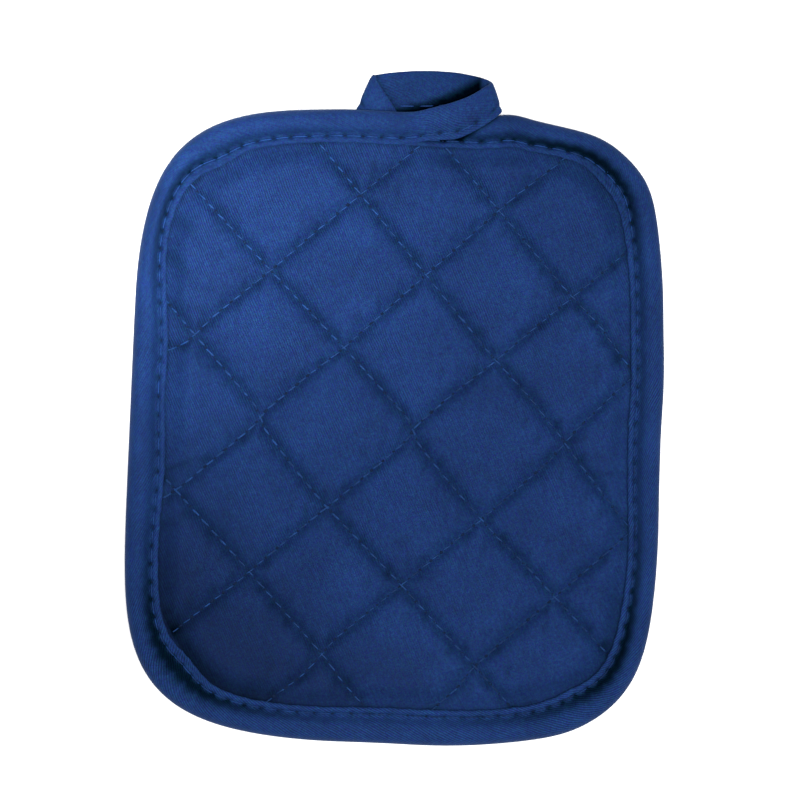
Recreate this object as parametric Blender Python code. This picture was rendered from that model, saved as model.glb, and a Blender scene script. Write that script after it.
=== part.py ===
"""A quilted pot holder that lies face up: a filled pad, a binding round its edge and a hang loop.

Metres, +Z up out of the front face, +Y towards the hang loop. The origin is the middle of the
whole object's box, on the surface that it lies on. Sizes below are in millimetres where they are
named so, and every point goes through MM once, in the function that makes a mesh.
"""

import math

import bmesh
import bpy
import numpy as np

MM = 0.001

# The edge seen from above: one quarter of a superellipse for each corner.
HALF_WIDTH = 85.0
HALF_LENGTH = 100.9
STATIONS = 84
# corner, x sign, y sign, power of x, power of y
CORNERS = (
    ("top_right", 1, 1, 5.2, 3.8),
    ("top_left", -1, 1, 4.0, 4.8),
    ("bottom_left", -1, -1, 3.6, 5.5),
    ("bottom_right", 1, -1, 3.0, 6.3),
)

# Quilting: ten straight seams, five each way.
# seam, heading of its line in degrees, offset of the line from the middle of the pad in mm
SEAMS = (
    ("falling_1", 133.5, -65.8),
    ("falling_2", 132.5, -31.2),
    ("falling_3", 133.5, 2.8),
    ("falling_4", 131.5, 38.8),
    ("falling_5", 132.5, 70.4),
    ("rising_1", 42.0, 64.4),
    ("rising_2", 43.0, 30.6),
    ("rising_3", 43.0, -4.7),
    ("rising_4", 43.5, -39.3),
    ("rising_5", 44.5, -74.4),
)
SHOULDERS = (-10.0, -4.0, 0.0, 4.0, 10.0)  # mesh lines beside each seam, in mm from it

# Heights in mm above the surface.
SEAM_FRONT = 5.0
PUFF_FRONT = 8.9
SEAM_BACK = 1.4
PUFF_SPREAD = 6.5  # how far from a seam the wadding takes to fill out
PUFF_REACH = 1.75  # how much further the back would sag, if the surface did not flatten it
EDGE_RISE = 9.0  # how far the pad takes to fill out beside the binding
EDGE_TOP = 8.6

# The binding's folded section: mm in from the outer edge, mm above the surface.
BINDING_OUTSIDE = (
    (9.8, 5.6),
    (9.1, 6.3),
    (7.4, 5.8),
    (6.2, 7.2),
    (4.6, 8.5),
    (3.0, 8.6),
    (1.3, 7.6),
    (0.0, 4.8),
    (0.3, 2.2),
    (1.3, 0.7),
    (2.8, 0.0),
    (9.8, 0.0),
)
BINDING_INSIDE = (
    (9.8, 1.0),
    (3.4, 1.0),
    (1.6, 2.4),
    (1.1, 4.6),
    (2.2, 6.8),
    (3.8, 7.5),
    (5.4, 6.4),
    (7.4, 4.8),
    (9.8, 4.9),
)
# The pad's edge inside the binding: mm in from the outer edge, underside, top.
PAD_EDGE = (
    (1.8, 3.6, 4.9),
    (2.8, 2.3, 6.1),
    (3.9, 1.7, 6.6),
    (5.5, 1.7, 5.2),
    (7.4, 1.7, 4.1),
    (9.9, 1.7, 4.2),
)
PAD_FREE = (11.4, 15.0)  # loops of the pad past the binding, in mm from the outer edge

# Where the loop's tail is sewn to the top edge, the edge is pressed thinner.
TAIL_LEFT = (-31.0, -17.0, -1.0, 10.0)  # x where the underside starts to lift, has lifted, and so on
TAIL_LIFT = 3.5
STRAND_RIGHT = (2.0, 10.0, 30.0, 40.0)  # x where the front of the edge lies under the strand
STRAND_PRESS = 1.3
PRESSED_ABOVE = (74.0, 88.0)  # y over which the pressing starts

# The loop: the edges of the folded strip at each fold, in mm, before the origin is moved.
LOOP_THICK = 1.4
LOOP_STEPS = 4
# place, upper edge x y z, lower edge x y z
LOOP = (
    ("leaves_edge", 5.0, 101.4, 9.5, 5.0, 92.0, 8.5),
    ("front_1", 9.4, 103.0, 9.4, 9.8, 92.4, 8.2),
    ("front_2", 15.4, 105.0, 9.4, 15.5, 93.0, 8.4),
    ("front_3", 20.0, 107.2, 9.3, 21.0, 95.6, 9.0),
    ("front_4", 23.8, 109.7, 8.6, 26.3, 98.9, 9.0),
    ("turn", 25.9, 111.4, 6.2, 29.9, 102.0, 6.6),
    ("back_1", 24.2, 112.4, 3.4, 27.6, 102.3, 4.0),
    ("back_2", 19.8, 113.2, 2.1, 21.8, 103.0, 2.4),
    ("back_3", 13.0, 113.9, 1.4, 13.6, 103.7, 1.4),
    ("back_4", 2.8, 113.8, 1.0, 3.2, 103.3, 1.0),
    ("back_5", -6.4, 113.2, 0.9, -9.0, 102.4, 0.9),
    ("fold_in", -10.4, 112.7, 1.0, -14.9, 101.6, 0.9),
    ("fold_back", -11.6, 112.4, 1.4, -16.4, 101.3, 1.1),
    ("fold", -11.9, 112.3, 2.0, -16.8, 101.1, 1.8),
    ("fold_front", -11.5, 111.8, 2.7, -16.4, 100.8, 2.4),
    ("fold_out", -10.3, 110.3, 3.0, -15.2, 99.6, 2.6),
    ("tail_1", -6.9, 105.6, 2.8, -13.1, 97.0, 2.3),
    ("tail_2", -3.8, 101.4, 1.5, -11.4, 94.4, 1.2),
    ("tail_end", -0.6, 97.0, 1.0, -8.8, 91.0, 1.0),
)

# material, red, green, blue in linear light, roughness
NAVY_TWILL = ("navy_twill", 0.020, 0.050, 0.170, 0.85)
NAVY_BINDING = ("navy_binding", 0.022, 0.054, 0.180, 0.80)
NAVY_TAIL = ("navy_tail", 0.021, 0.052, 0.175, 0.80)


def clear_scene():
    for obj in list(bpy.data.objects):
        bpy.data.objects.remove(obj, do_unlink=True)


def smooth(value):
    """0 below 0, 1 above 1, and a smooth rise between."""
    value = np.clip(value, 0.0, 1.0)
    return value * value * (3.0 - 2.0 * value)


def window(value, edges):
    """1 between the inner two of four edges, 0 outside the outer two."""
    start, full, still, end = edges
    return smooth((value - start) / (full - start)) * smooth((end - value) / (end - still))


def corner_curve(sign_x, sign_y, power_x, power_y, steps=400):
    """One quarter of the edge, from the x axis to the y axis."""
    angle = np.linspace(0.0, math.pi / 2, steps)
    x = sign_x * HALF_WIDTH * np.cos(angle).clip(0.0) ** (2.0 / power_x)
    y = sign_y * HALF_LENGTH * np.sin(angle).clip(0.0) ** (2.0 / power_y)
    curve = np.column_stack((x, y))
    return curve if sign_x == sign_y else curve[::-1]


def edge_stations(count):
    """Points spaced evenly along the edge, anticlockwise, and the way inwards at each."""
    curve = np.vstack([corner_curve(*corner[1:])[:-1] for corner in CORNERS])
    closed = np.vstack((curve, curve[:1]))
    along = np.concatenate(([0.0], np.cumsum(np.hypot(*np.diff(closed, axis=0).T))))
    wanted = np.linspace(0.0, along[-1], count, endpoint=False)
    points = np.column_stack([np.interp(wanted, along, closed[:, axis]) for axis in (0, 1)])
    ahead = np.roll(points, -1, axis=0) - np.roll(points, 1, axis=0)
    inwards = np.column_stack((-ahead[:, 1], ahead[:, 0]))
    return points, inwards / np.linalg.norm(inwards, axis=1, keepdims=True)


EDGE, INWARDS = edge_stations(STATIONS)
FINE_EDGE, FINE_INWARDS = edge_stations(STATIONS * 8)


def inset(x, y):
    """How far in from the outer edge a point is."""
    gaps = np.hypot(FINE_EDGE[:, 0] - x, FINE_EDGE[:, 1] - y)
    nearest = int(np.argmin(gaps))
    across = (x - FINE_EDGE[nearest, 0]) * FINE_INWARDS[nearest, 0]
    across += (y - FINE_EDGE[nearest, 1]) * FINE_INWARDS[nearest, 1]
    return float(across)


def tail_lift(x, y):
    """How far the underside is lifted by the tail that is sewn beneath it."""
    reach = smooth((y - PRESSED_ABOVE[0]) / (PRESSED_ABOVE[1] - PRESSED_ABOVE[0]))
    return float(TAIL_LIFT * window(x, TAIL_LEFT) * reach)


def strand_press(x, y):
    """How far the front of the edge is pressed down under the strand that lies on it."""
    reach = smooth((y - PRESSED_ABOVE[0]) / (PRESSED_ABOVE[1] - PRESSED_ABOVE[0]))
    return float(STRAND_PRESS * window(x, STRAND_RIGHT) * reach)


def squeeze(x, y, height):
    """A height in the edge, once it is squeezed between what is sewn under it and what lies on it."""
    lift = tail_lift(x, y)
    return lift + height * (1.0 - (lift + strand_press(x, y)) / EDGE_TOP)


def away_from_seam(x, y, seam):
    name, heading, offset = seam
    angle = math.radians(heading)
    return abs(-math.sin(angle) * x + math.cos(angle) * y - signed(name, offset))


def signed(name, offset):
    """Offsets grow to the upper right on falling seams, and to the upper left on rising ones."""
    return -offset if name.startswith("falling") else offset


def puff(x, y):
    """0 on a seam, and nearly 1 in the middle of a diamond."""
    filled = 1.0
    for family in ("falling", "rising"):
        near = min(away_from_seam(x, y, seam) for seam in SEAMS if seam[0].startswith(family))
        filled *= 1.0 - math.exp(-((near / PUFF_SPREAD) ** 2))
    return filled


def pad_heights(x, y):
    """Underside and top of the pad."""
    depth = inset(x, y)
    insets = [row[0] for row in PAD_EDGE]
    bottom = squeeze(x, y, float(np.interp(depth, insets, [row[1] for row in PAD_EDGE])))
    top = squeeze(x, y, float(np.interp(depth, insets, [row[2] for row in PAD_EDGE])))
    risen = float(smooth((depth - insets[-1]) / EDGE_RISE))
    filled = puff(x, y) * risen
    top += (SEAM_FRONT - top) * risen + (PUFF_FRONT - SEAM_FRONT) * filled
    bottom += (SEAM_BACK - bottom) * risen - SEAM_BACK * PUFF_REACH * filled
    return max(0.0, bottom), top


def make_material(name, red, green, blue, roughness):
    material = bpy.data.materials.new(name)
    material.use_nodes = True
    shader = material.node_tree.nodes["Principled BSDF"]
    shader.inputs["Base Color"].default_value = (red, green, blue, 1.0)
    shader.inputs["Roughness"].default_value = roughness
    shader.inputs["Metallic"].default_value = 0.0
    return material


def make_object(name, bm, look, sharp_angle=40.0):
    bmesh.ops.recalc_face_normals(bm, faces=bm.faces)
    mesh = bpy.data.meshes.new(name)
    bm.to_mesh(mesh)
    bm.free()
    mesh.shade_smooth()
    mesh.set_sharp_from_angle(angle=math.radians(sharp_angle))
    obj = bpy.data.objects.new(name, mesh)
    obj.data.materials.append(make_material(*look))
    bpy.context.scene.collection.objects.link(obj)
    return obj


def ring_of_verts(bm, depth, height):
    """A loop of vertices parallel to the edge. The height is a number or a function of x and y."""
    ring = []
    for point, inwards in zip(EDGE, INWARDS):
        x, y = point + depth * inwards
        z = height(x, y) if callable(height) else height
        ring.append(bm.verts.new((x * MM, y * MM, z * MM)))
    return ring


def bridge(bm, ring, other, closed=True):
    """Quads between two loops of as many vertices."""
    count = len(ring)
    for index in range(count if closed else count - 1):
        after = (index + 1) % count
        bm.faces.new((ring[index], ring[after], other[after], other[index]))


def cut_by_seams(bm, faces):
    """Divides the flat middle of the pad along lines beside every seam."""
    for name, heading, offset in SEAMS:
        angle = math.radians(heading)
        normal = (-math.sin(angle), math.cos(angle), 0.0)
        for shoulder in SHOULDERS:
            across = signed(name, offset) + shoulder
            faces = [face for face in faces if face.is_valid]
            edges = {edge for face in faces for edge in face.edges}
            verts = {vert for face in faces for vert in face.verts}
            found = bmesh.ops.bisect_plane(
                bm,
                geom=list(verts) + list(edges) + faces,
                plane_co=(normal[0] * across * MM, normal[1] * across * MM, 0.0),
                plane_no=normal,
                dist=0.0004,
            )
            faces = [item for item in found["geom"] if isinstance(item, bmesh.types.BMFace)]
    return faces


def make_pad():
    """The filled pad: one flat net of faces, given its top, its underside and the wall between."""
    bm = bmesh.new()
    insets = [row[0] for row in PAD_EDGE] + list(PAD_FREE)
    rings = [ring_of_verts(bm, depth, 0.0) for depth in insets]
    for outer, inner in zip(rings, rings[1:]):
        bridge(bm, outer, inner)
    middle = [bm.faces.new(rings[-1])]
    free = len(PAD_FREE)
    bm.faces.ensure_lookup_table()
    middle += list(bm.faces)[-1 - free * STATIONS : -1]
    cut_by_seams(bm, middle)
    bmesh.ops.dissolve_degenerate(bm, dist=0.0003, edges=bm.edges)
    bmesh.ops.triangulate(bm, faces=bm.faces)
    under = bmesh.ops.duplicate(bm, geom=bm.verts[:] + bm.edges[:] + bm.faces[:])
    under_verts = {item for item in under["geom"] if isinstance(item, bmesh.types.BMVert)}
    for vert in bm.verts:
        low, high = pad_heights(vert.co.x / MM, vert.co.y / MM)
        vert.co.z = (low if vert in under_verts else high) * MM
    border = [edge for edge in bm.edges if edge.is_boundary]
    bmesh.ops.bridge_loops(bm, edges=border)
    bmesh.ops.triangulate(bm, faces=bm.faces)
    return make_object("quilted_pad", bm, NAVY_TWILL)


def make_binding():
    """The folded strip round the edge: its section carried round every station."""
    bm = bmesh.new()
    rings = []
    for depth, height in BINDING_OUTSIDE + BINDING_INSIDE:
        rings.append(ring_of_verts(bm, depth, lambda x, y, z=height: squeeze(x, y, z)))
    for ring, after in zip(rings, rings[1:] + rings[:1]):
        bridge(bm, ring, after)
    return make_object("edge_binding", bm, NAVY_BINDING)


def through(rows, steps):
    """A smooth curve through every row (Catmull-Rom), with so many steps between two rows."""
    rows = np.vstack((2 * rows[0] - rows[1], rows, 2 * rows[-1] - rows[-2]))
    curve = []
    for before, start, end, after in zip(rows, rows[1:], rows[2:], rows[3:]):
        for step in range(steps):
            t = step / steps
            bend = 2 * before - 5 * start + 4 * end - after
            twist = -before + 3 * start - 3 * end + after
            curve.append(start + 0.5 * t * (end - before + t * (bend + t * twist)))
    curve.append(rows[-2])
    return np.array(curve)


def make_loop():
    """The tail of the binding: a folded strip that turns, folds flat and goes under the edge."""
    rows = np.array([row[1:] for row in LOOP], dtype=float)
    curve = through(rows, LOOP_STEPS)
    upper, lower = curve[:, :3], curve[:, 3:]
    middle = (upper + lower) / 2
    ahead = np.gradient(middle, axis=0)
    faces_out = np.cross(ahead, upper - lower)
    faces_out /= np.linalg.norm(faces_out, axis=1, keepdims=True)
    bm = bmesh.new()
    sections = []
    for high, low, out in zip(upper, lower, faces_out):
        half = out * LOOP_THICK / 2
        rim = (high - low) / np.linalg.norm(high - low) * LOOP_THICK / 2
        points = (high, high - rim + half, low + rim + half, low, low + rim - half, high - rim - half)
        sections.append([bm.verts.new(point * MM) for point in points])
    for section, after in zip(sections, sections[1:]):
        bridge(bm, section, after)
    bm.faces.new(sections[0][::-1])
    bm.faces.new(sections[-1])
    bmesh.ops.triangulate(bm, faces=bm.faces)
    return make_object("hang_loop", bm, NAVY_TAIL)


def centre_on_base(objects):
    """Moves the meshes so that the origin is the middle of the whole box, at its bottom."""
    corners = np.array([vert.co for obj in objects for vert in obj.data.vertices])
    low, high = corners.min(axis=0), corners.max(axis=0)
    shift = (-(low[0] + high[0]) / 2, -(low[1] + high[1]) / 2, -low[2])
    for obj in objects:
        for vert in obj.data.vertices:
            vert.co = [place + move for place, move in zip(vert.co, shift)]


def main():
    clear_scene()
    pieces = [make_pad(), make_binding(), make_loop()]
    centre_on_base(pieces)


main()
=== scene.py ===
"""Looks for the quilted pot holder: cloth, tape, stitches, floor, light and camera.

Every piece is built in millimetres about the middle of the bound edge, with +Z up out of the front,
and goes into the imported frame's metres in one place, to_frame.
"""

import math

import bpy
import numpy as np
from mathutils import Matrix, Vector
from mathutils.kdtree import KDTree


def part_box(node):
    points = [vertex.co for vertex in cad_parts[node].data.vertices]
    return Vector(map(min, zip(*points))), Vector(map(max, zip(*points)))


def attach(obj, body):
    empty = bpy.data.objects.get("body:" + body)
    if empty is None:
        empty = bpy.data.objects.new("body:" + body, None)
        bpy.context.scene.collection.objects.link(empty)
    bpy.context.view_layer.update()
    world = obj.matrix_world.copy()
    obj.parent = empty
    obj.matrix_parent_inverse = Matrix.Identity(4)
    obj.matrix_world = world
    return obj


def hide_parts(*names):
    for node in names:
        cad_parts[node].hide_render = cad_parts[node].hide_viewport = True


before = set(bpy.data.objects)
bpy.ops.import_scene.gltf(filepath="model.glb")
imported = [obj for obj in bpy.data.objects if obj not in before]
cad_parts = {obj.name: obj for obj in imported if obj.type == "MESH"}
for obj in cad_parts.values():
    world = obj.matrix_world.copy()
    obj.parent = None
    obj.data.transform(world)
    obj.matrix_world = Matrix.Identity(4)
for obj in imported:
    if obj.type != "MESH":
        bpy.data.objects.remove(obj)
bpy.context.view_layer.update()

MM = 0.001
EDGE_LOW, EDGE_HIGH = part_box("edge_binding")
MIDDLE = ((EDGE_LOW.x + EDGE_HIGH.x) / 2, (EDGE_LOW.y + EDGE_HIGH.y) / 2)
HALF_WIDTH = (EDGE_HIGH.x - EDGE_LOW.x) / 2 / MM
HALF_LENGTH = (EDGE_HIGH.y - EDGE_LOW.y) / 2 / MM
EDGE_TOP = 8.6  # mm, the top of the roll before anything presses on it
EDGE_STATIONS = 1100
RNG = np.random.default_rng(7)

# The edge seen from above: a quarter of a superellipse for each corner (x sign, y sign, powers).
CORNERS = ((1, 1, 5.2, 3.8), (-1, 1, 4.0, 4.8), (-1, -1, 3.6, 5.5), (1, -1, 3.0, 6.3))
# Where the sewn edge bulges or draws in: direction from the middle, half width in degrees, mm.
EDGE_SWAYS = (
    (11, 8, 0.35), (25, 7, -0.30), (34, 5, -0.25), (46, 5, 1.1), (63, 5, -0.8), (72, 3, 1.1),
    (100, 7, 0.2), (150, 8, 0.25), (258, 10, 0.35), (280, 9, 0.35), (302, 6, 0.5), (337, 13, 0.75),
)

# Quilting seams: name, heading in degrees, offset from the middle in mm, and how the needle
# wandered: (mm along the seam from its middle, mm towards the upper side).
SEAMS = (
    ("falling_1", 133.5, -65.8, ((-35, -0.4), (0, 0.3), (41, 0.6), (50, -0.3))),
    ("falling_2", 132.5, -31.2, (
        (-77, 1.1), (-34, 1.5), (-26, -1.2), (-10, -1.9), (4, -2.0), (37, 0.2), (87, 2.0),
    )),
    ("falling_3", 133.5, 2.8, (
        (-99, -1.0), (-60, 0.3), (-25, 1.8), (1, 2.2), (9, -0.7), (25, -1.3), (48, -1.2),
        (56, -0.4), (97, 0.9),
    )),
    ("falling_4", 131.5, 38.8, ((0, -0.4), (20, 0.7), (35, 0.5), (45, -0.2), (68, -0.7))),
    ("falling_5", 132.5, 70.4, ((-22, -0.3), (0, -0.3), (18, 0.7), (24, 0.0), (33, -0.5))),
    ("rising_1", 42.0, 64.4, ((-40, 0.9), (-34, -0.9), (-22, 0.1), (4, -0.2), (20, 0.2))),
    ("rising_2", 43.0, 30.6, (
        (-71, 0.5), (-64, -0.4), (-34, -0.7), (-28, 0.5), (-11, 0.3), (2, -0.5), (40, 0.2),
        (78, 0.8), (93, -0.2),
    )),
    ("rising_3", 43.0, -4.7, (
        (-93, 1.1), (-70, 0.0), (-46, -0.1), (-21, -0.8), (0, -0.8), (6, 0.9), (20, 1.0),
        (35, 0.2), (54, 0.0), (80, -0.6),
    )),
    ("rising_4", 43.5, -39.3, (
        (-86, 0.0), (-75, -1.0), (-68, -0.4), (-59, 1.0), (-38, 0.2), (4, -1.0), (30, -1.1),
        (44, 0.8), (65, 1.7),
    )),
    ("rising_5", 44.5, -74.4, (
        (-49, -0.6), (-41, -0.8), (-33, 0.7), (-20, 0.6), (0, 0.0), (28, -0.7),
    )),
)
# The rows that fall are sewn first, and those that rise are sewn over them: how shaded the cloth
# is along each, how far its stitches turn from the row in degrees, and its thread's width in mm.
FALLING = {"shade": 0.27, "cast": 5.3, "thread": 0.58}
RISING = {"shade": 0.16, "cast": -4.5, "thread": 0.47}
QUILT_PITCH = 4.4
QUILT_STITCH = 3.0
SEAM_FRONT, SEAM_BACK = 4.9, 1.5  # mm, the height of the front and of the back in a seam
PUFF_NEAR, PUFF_FAR = 2.3, 1.2  # mm gained close to a seam, and by the middle of a diamond
NEAR_REACH, FAR_REACH = 2.1, 8.5  # mm from a seam over which each of them is gained

# The binding's folded section: mm in from the outer edge, mm above the surface.
TAPE_SKIN = (
    (9.72, 5.35), (9.88, 5.80), (9.62, 6.22), (9.05, 6.42), (8.45, 6.30), (7.90, 5.95),
    (7.35, 5.60), (6.75, 5.85), (6.20, 6.75), (5.50, 7.75), (4.50, 8.42), (3.40, 8.62),
    (2.30, 8.40), (1.35, 7.75), (0.60, 6.75), (0.12, 5.45), (0.00, 4.20), (0.15, 2.80),
    (0.60, 1.50), (1.40, 0.60), (2.60, 0.10), (4.50, 0.00), (7.60, 0.72), (9.20, 0.12),
    (9.75, 0.40),
)
TAPE_LINING = (
    (9.70, 0.85), (9.00, 1.02), (6.00, 1.00), (3.40, 1.10), (1.80, 2.20), (1.15, 4.20),
    (1.70, 6.05), (2.90, 7.20), (3.90, 7.42), (5.10, 6.60), (6.30, 4.60), (7.40, 4.40),
    (8.80, 4.95),
)
# Where things are on that section, in mm in from the outer edge.
ROLL_IN, GROOVE_IN, STITCH_IN, LIP_TOP_IN, LIP_FOLD_IN, LIP_IN = 3.4, 7.0, 7.85, 8.9, 9.1, 9.88
FRONT_FROM = 4.0  # mm up the section, where its front begins
BINDING_PITCH = 6.0
BINDING_STITCH = 4.5
# How far in the lip reaches, and where it reaches further or less far: direction from the middle,
# half width in degrees, mm.
LIP_REACH = 10.6
LIP_SWAYS = (
    (142, 12, -2.3), (165, 7, 0.6), (190, 12, 1.3), (230, 7, 2.7), (275, 18, 0.9), (305, 7, 1.6),
    (335, 14, -1.1), (62, 7, -1.1), (117, 8, 0.4), (125, 5, 1.7),
)
# Where the lip is folded double: it is this much wider there, with a second line of painted shade
# along it.
FOLDED_LIP = ((49, 9, 1.3), (129, 7, 0.8), (229, 9, 0.9))
# Corners where the groove is drawn deep and its painted shade darker: direction from the middle,
# half width in degrees, mm.
DEEP_GROOVES = (
    (56, 16, 2.3), (133, 14, 1.0), (229, 17, 2.5), (316, 16, 2.2), (88, 14, 0.8), (270, 16, -0.5),
)
# Where the pad sinks beside the lip, and painted shade darkens it.
SUNK_RIM = ((231, 15, 1.6), (316, 10, 0.8), (52, 10, 0.6))
# Tucks that run in from the binding where the cloth is gathered, with painted shade along them:
# direction, half width, size.
TUCKS = (
    (139, 1.5, 0.9), (146, 1.7, 1.0), (153, 1.2, 0.5), (162.5, 1.3, 0.9), (176, 1.5, 0.4),
    (192, 1.4, 1.0), (205, 1.6, 0.5), (224, 2.0, 0.5), (244, 2.0, 0.6), (262, 1.5, 0.4),
    (297, 1.6, 0.5), (325, 1.5, 0.4), (350, 1.3, 0.4), (20, 1.5, 0.5), (38, 1.5, 0.6),
)
TUCK_REACH = 13.0  # mm from the lip
# The pad's edge inside the binding: mm in from the outer edge, underside, top.
PAD_EDGE = ((3.2, 3.4, 4.9), (4.2, 2.2, 6.0), (5.5, 1.7, 5.4), (7.4, 1.6, 4.3), (9.9, 1.5, 4.9))
PAD_START = 3.2
PAD_NET = (236, 280)  # cells across and along the front, and half as many each way on the back
EDGE_RISE = 8.0  # mm past the lip over which the pad rises to its full height

# The top edge is lifted by the loop's tail beneath it and pressed by the loop's strand over it.
TAIL_LEFT = (-31.0, -17.0, -1.0, 10.0)  # x where the lift sets in, is full, fades, is gone
TAIL_LIFT = 3.5
STRAND_RIGHT = (2.0, 10.0, 30.0, 40.0)  # the same for the pressing
STRAND_PRESS = 1.3
PRESSED_ABOVE = (74.0, 88.0)  # y over which both set in

# x on the top edge in mm: where the tape starts, where it has overlapped its start, and where its
# last stations give way to the loose strip.
TAPE_START_X, TAPE_END_X, RUNS_OFF_X = -1.0, 4.0, -4.0
LAST_STATIONS = 60

LOOP_THICK = 1.3  # mm, both plies of the folded strip
LOOP_STEPS = 9  # rings of the strip between two rows of LOOP
LOOP_EASE = 12.0  # mm over which the edge's section closes into the flat strip
# The folded strip's way through the loop: upper edge x y z, lower edge x y z, in mm.
LOOP = (
    ("runs_off_edge", -4.0, 101.0, 8.0, -4.0, 91.6, 6.8),
    ("leaves_edge", 3.0, 101.4, 9.2, 4.0, 91.9, 7.8),
    ("front_1", 9.4, 103.0, 9.4, 9.8, 92.4, 8.2),
    ("front_2", 15.4, 105.0, 9.4, 15.5, 93.0, 8.4),
    ("front_3", 20.0, 107.2, 9.3, 21.0, 95.6, 9.0),
    ("front_4", 23.6, 109.7, 8.6, 26.0, 98.9, 9.0),
    ("turn", 25.6, 111.4, 6.2, 29.2, 102.0, 6.6),
    ("back_1", 24.0, 112.9, 3.4, 27.2, 102.3, 4.0),
    ("back_2", 19.8, 114.0, 2.1, 21.8, 102.2, 2.4),
    ("back_3", 13.0, 114.9, 1.4, 13.6, 101.5, 1.4),
    ("back_4", 2.8, 114.9, 1.0, 3.2, 100.6, 1.0),
    ("back_5", -6.4, 113.9, 0.9, -9.0, 100.6, 0.9),
    ("fold_in", -10.1, 113.2, 1.0, -14.5, 101.6, 0.9),
    ("fold_back", -11.3, 112.9, 1.4, -16.0, 101.3, 1.1),
    ("fold", -11.6, 112.8, 2.0, -16.4, 101.1, 1.8),
    ("fold_front", -11.2, 112.3, 2.7, -16.0, 100.8, 2.4),
    ("fold_out", -10.3, 110.3, 3.0, -15.2, 99.6, 2.6),
    ("tail_1", -6.9, 105.6, 2.8, -13.1, 97.0, 2.3),
    ("tail_2", -3.8, 101.4, 1.5, -11.4, 94.4, 1.2),
    ("tail_end", -0.6, 97.0, 1.0, -8.8, 91.0, 1.0),
)
LOOP_NAMES = [row[0] for row in LOOP]
# Rows of LOOP between which no stitch shows: where the tape turns back, and where it is creased.
BARE = ((4.6, 7.2), (11.5, 16.5))


def smooth(value):
    """0 below 0, 1 above 1, and a smooth rise between."""
    value = np.clip(value, 0.0, 1.0)
    return value * value * (3.0 - 2.0 * value)


def window(value, edges):
    """1 between the inner two of four edges, 0 outside the outer two."""
    start, full, still, end = edges
    return smooth((value - start) / (full - start)) * smooth((end - value) / (end - still))


def bell(off, spread):
    """1 where off is 0, and fading to both sides."""
    return np.exp(-((off / spread) ** 2))


def bumps(angle, rows):
    """The sum of swellings, each (direction in degrees, half width in degrees, size)."""
    total = np.zeros_like(angle)
    for direction, spread, size in rows:
        total += size * bell((angle - direction + 180.0) % 360.0 - 180.0, spread)
    return total


def polar(points):
    """The direction of each point from the middle, in degrees."""
    return np.degrees(np.arctan2(points[:, 1], points[:, 0])) % 360.0


def edge_stations(count):
    """Points evenly along the edge, anticlockwise from the right, and the way inwards at each."""
    quarters = []
    for sign_x, sign_y, power_x, power_y in CORNERS:
        turn = np.linspace(0.0, math.pi / 2, 500)
        x = sign_x * HALF_WIDTH * np.cos(turn).clip(0.0) ** (2.0 / power_x)
        y = sign_y * HALF_LENGTH * np.sin(turn).clip(0.0) ** (2.0 / power_y)
        quarter = np.column_stack((x, y))
        quarters.append((quarter if sign_x == sign_y else quarter[::-1])[:-1])
    curve = np.vstack(quarters)
    reach = np.linalg.norm(curve, axis=1, keepdims=True)
    curve = curve * (1.0 + bumps(polar(curve), EDGE_SWAYS)[:, None] / reach)
    closed = np.vstack((curve, curve[:1]))
    along = np.concatenate(([0.0], np.cumsum(np.hypot(*np.diff(closed, axis=0).T))))
    wanted = np.linspace(0.0, along[-1], count, endpoint=False)
    points = np.column_stack([np.interp(wanted, along, closed[:, axis]) for axis in (0, 1)])
    ahead = np.roll(points, -2, axis=0) - np.roll(points, 2, axis=0)
    inwards = np.column_stack((-ahead[:, 1], ahead[:, 0]))
    return points, inwards / np.linalg.norm(inwards, axis=1, keepdims=True), along[-1]


EDGE, INWARDS, ROUND = edge_stations(EDGE_STATIONS)  # ROUND is the whole way round, in mm
EDGE_TREE = KDTree(len(EDGE))
for number, (x, y) in enumerate(EDGE):
    EDGE_TREE.insert((x, y, 0.0), number)
EDGE_TREE.balance()


def inset(x, y):
    """How far in from the outer edge each point is."""
    found = np.array([EDGE_TREE.find((a, b, 0.0))[1] for a, b in zip(x, y)])
    return (x - EDGE[found, 0]) * INWARDS[found, 0] + (y - EDGE[found, 1]) * INWARDS[found, 1]


def lip_reach(angle):
    """How far in from the outer edge the lip of the binding reaches."""
    return LIP_REACH + bumps(angle, LIP_SWAYS) + bumps(angle, FOLDED_LIP)


def squeeze(x, y, height):
    """A height in the edge, squeezed between what is sewn under it and what lies on it."""
    reach = smooth((y - PRESSED_ABOVE[0]) / (PRESSED_ABOVE[1] - PRESSED_ABOVE[0]))
    lift = TAIL_LIFT * window(x, TAIL_LEFT) * reach
    press = STRAND_PRESS * window(x, STRAND_RIGHT) * reach
    return lift + height * (1.0 - (lift + press) / EDGE_TOP)


def ripple(x, y, size, seed):
    """Smooth uneven cloth: a few crossing waves about so many mm long, from -1 to 1."""
    draw = np.random.default_rng(seed)
    total = np.zeros_like(x)
    for _ in range(7):
        heading, shift = draw.uniform(0, math.tau, 2)
        wave = math.tau / (size * draw.uniform(0.7, 1.5))
        total += np.sin(wave * (x * math.cos(heading) + y * math.sin(heading)) + shift)
    return total / 7 ** 0.5 / 1.5


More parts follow.
